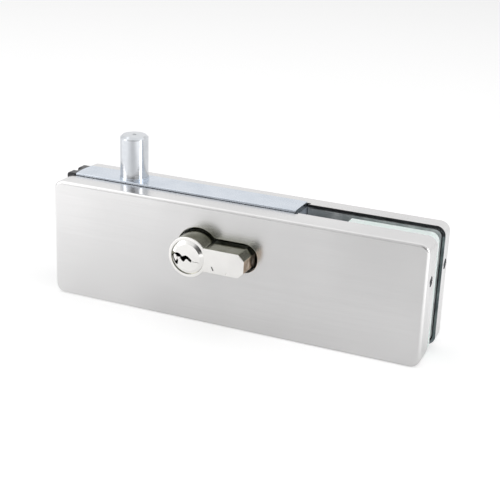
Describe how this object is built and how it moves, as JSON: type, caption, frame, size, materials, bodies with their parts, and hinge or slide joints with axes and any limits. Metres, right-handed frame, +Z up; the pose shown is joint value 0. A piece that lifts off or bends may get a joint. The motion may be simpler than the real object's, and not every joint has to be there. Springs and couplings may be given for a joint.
{
  "type": "locking corner patch",
  "caption": "Clamp-on corner lock for a frameless glass door: two brushed steel covers, euro profile key cylinder and a round bolt thrown out of the top edge.",
  "frame": {"origin": "under the middle of the patch, on its lower edge, in the centre plane of the glass slot", "axes": "+X along the patch, from the bolt end towards the glass pads; -Y is the front face; +Z up, the way the bolt is thrown"},
  "size_m": [0.164, 0.055, 0.071],
  "materials": {
    "brushed_stainless": "satin stainless, grain along the length",
    "zinc_plated_plate": "bright bluish zinc plating",
    "zinc_plated_bolt": "turned and zinc plated",
    "zinc_plated_case": "dull zinc plating",
    "cast_aluminium": "grey die casting, slightly grainy",
    "nickel_brass": "satin nickel on brass",
    "nickel_plug": "bright satin nickel on brass",
    "mint_pad": "soft translucent mint green",
    "black_plastic": "moulded, fine texture",
    "screw_steel": "zinc plated screw steel",
    "slide_steel": "machined steel",
    "spring_steel": "bright drawn wire",
    "pin_brass": "plain turned brass"
  },
  "bodies": {
    "patch": {"front_cover": "brushed_stainless", "rear_cover": "brushed_stainless", "front_cover_screws": "screw_steel", "rear_cover_screws": "screw_steel", "front_clamp_body": "cast_aluminium", "rear_clamp_body": "cast_aluminium", "clamp_screws": "screw_steel", "glass_pad_outer": "mint_pad", "glass_pad_inner": "mint_pad", "end_piece": "black_plastic", "lock_case": "zinc_plated_case", "case_lid": "zinc_plated_case", "lid_screws": "screw_steel", "faceplate": "zinc_plated_plate", "guide_rod": "slide_steel", "brake_plunger": "black_plastic", "brake_spring": "spring_steel", "cylinder_body": "nickel_brass", "driver_pins": "pin_brass", "pin_springs": "spring_steel", "chamber_caps": "pin_brass", "cylinder_fixing_screw": "screw_steel"},
    "bolt": {"bolt_pin": "zinc_plated_bolt", "bolt_slide": "slide_steel", "slide_cross_pin": "slide_steel"},
    "front_plug": {"front_plug": "nickel_plug", "front_plug_clip": "spring_steel", "front_key_pins": "pin_brass"},
    "rear_plug": {"rear_plug": "nickel_plug", "rear_plug_clip": "spring_steel", "rear_key_pins": "pin_brass"},
    "cam": {"cam": "slide_steel", "clutch": "slide_steel"}
  },
  "joints": [
    {"name": "front_plug_turn", "type": "hinge", "parent": "patch", "child": "front_plug", "pos_m": [-0.0134, 0, 0.032], "axis": [0, -1, 0], "range_deg": [0, 102.8]},
    {"name": "bolt_throw", "type": "slide", "parent": "patch", "child": "bolt", "axis": [0, 0, 1], "range_m": [-0.02, 0]},
    {"name": "cam_turn", "type": "hinge", "parent": "patch", "child": "cam", "pos_m": [-0.0134, 0, 0.032], "axis": [0, -1, 0], "range_deg": [0, 102.8]},
    {"name": "rear_plug_turn", "type": "hinge", "parent": "patch", "child": "rear_plug", "pos_m": [-0.0134, 0, 0.032], "axis": [0, -1, 0], "range_deg": [0, 360]}
  ],
  "couplings": [
    {"joint": "front_plug_turn", "follows": "bolt_throw", "rad_per_m": -89.667},
    {"joint": "cam_turn", "follows": "bolt_throw", "rad_per_m": -89.667}
  ]
}
